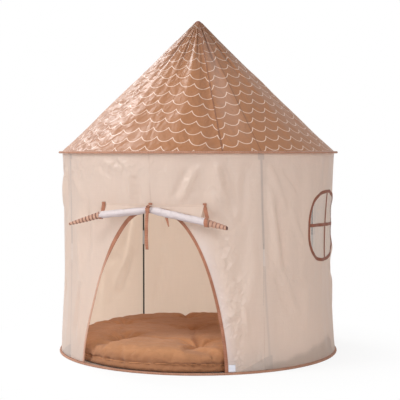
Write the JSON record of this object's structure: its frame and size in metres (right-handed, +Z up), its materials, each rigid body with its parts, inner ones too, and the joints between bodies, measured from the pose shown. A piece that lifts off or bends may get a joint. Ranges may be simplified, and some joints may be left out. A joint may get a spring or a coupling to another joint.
{
  "type": "round kids play tent",
  "caption": "Round indoor play tent with a cone roof on poles, a rolled-up arched door, netted side windows and a tufted round mattress on its floor.",
  "frame": {"origin": "middle of the floor's underside", "axes": "+Z up, the door faces -Y, the windows face +X and -X"},
  "size_m": [1.1, 1.1, 1.3],
  "materials": {
    "wall_cloth": "thin cream polyester, matt",
    "roof_cloth": "printed terracotta polyester, soft sheen",
    "binding": "brown woven binding tape",
    "floor_cloth": "cream woven polyester",
    "net": "pale open net",
    "door_cloth": "white polyester lining",
    "pocket_cloth": "grey reinforcing cloth",
    "fibreglass": "black pultruded rod",
    "ferrule_steel": "plain tube",
    "fitting_plastic": "grey moulded",
    "hoop_steel": "spring wire",
    "hook_tape": "white hook-and-loop tape",
    "mattress_cloth": "terracotta muslin, crinkled"
  },
  "bodies": {
    "tent": {"apex_hub": "fitting_plastic", "door_binding": "binding", "door_hook_patch": "hook_tape", "eave_elbow_front_left": "fitting_plastic", "eave_elbow_front_right": "fitting_plastic", "eave_elbow_rear_left": "fitting_plastic", "eave_elbow_rear_right": "fitting_plastic", "eave_hem_casing": "binding", "eave_hoop": "hoop_steel", "floor_cloth": "floor_cloth", "floor_hem_casing": "binding", "floor_hoop": "hoop_steel", "pole_pocket_front_left": "pocket_cloth", "pole_pocket_front_right": "pocket_cloth", "pole_pocket_rear_left": "pocket_cloth", "pole_pocket_rear_right": "pocket_cloth", "roof_gore_front": "roof_cloth", "roof_gore_left_front": "roof_cloth", "roof_gore_left_rear": "roof_cloth", "roof_gore_rear": "roof_cloth", "roof_gore_right_front": "roof_cloth", "roof_gore_right_rear": "roof_cloth", "roof_pole_front_left": "fibreglass", "roof_pole_front_right": "fibreglass", "roof_pole_rear_left": "fibreglass", "roof_pole_rear_right": "fibreglass", "roof_tip_cap": "binding", "wall_front": "wall_cloth", "wall_left": "wall_cloth", "wall_pole_ferrule_front_left": "ferrule_steel", "wall_pole_ferrule_front_right": "ferrule_steel", "wall_pole_ferrule_rear_left": "ferrule_steel", "wall_pole_ferrule_rear_right": "ferrule_steel", "wall_pole_lower_front_left": "fibreglass", "wall_pole_lower_front_right": "fibreglass", "wall_pole_lower_rear_left": "fibreglass", "wall_pole_lower_rear_right": "fibreglass", "wall_pole_upper_front_left": "fibreglass", "wall_pole_upper_front_right": "fibreglass", "wall_pole_upper_rear_left": "fibreglass", "wall_pole_upper_rear_right": "fibreglass", "wall_rear": "wall_cloth", "wall_right": "wall_cloth", "window_left_binding": "binding", "window_left_cross": "binding", "window_left_net": "net", "window_right_binding": "binding", "window_right_cross": "binding", "window_right_net": "net"},
    "door_flap": {"door_apron": "door_cloth", "door_roll": "door_cloth", "door_roll_edge_left": "binding", "door_roll_edge_right": "binding", "door_tie_centre": "binding", "door_tie_knot": "binding", "door_tie_left": "binding", "door_tie_right": "binding", "tie_end_inner": "binding"},
    "loose_tie": {"tie_tail": "binding"},
    "floor_mattress": {"mattress": "mattress_cloth"}
  },
  "joints": [
    {"name": "door_swing", "type": "hinge", "parent": "tent", "child": "door_flap", "pos_m": [0, -0.51705, 0.597], "axis": [-1, 0, 0], "range_deg": [0, 50]},
    {"name": "tie_swing", "type": "hinge", "parent": "door_flap", "child": "loose_tie", "pos_m": [0, -0.54814, 0.57315], "axis": [-1, 0, 0], "range_deg": [-45, 70]},
    {"name": "mattress_lift", "type": "slide", "parent": "tent", "child": "floor_mattress", "axis": [0, 0, 1], "range_m": [0, 0.15]}
  ]
}
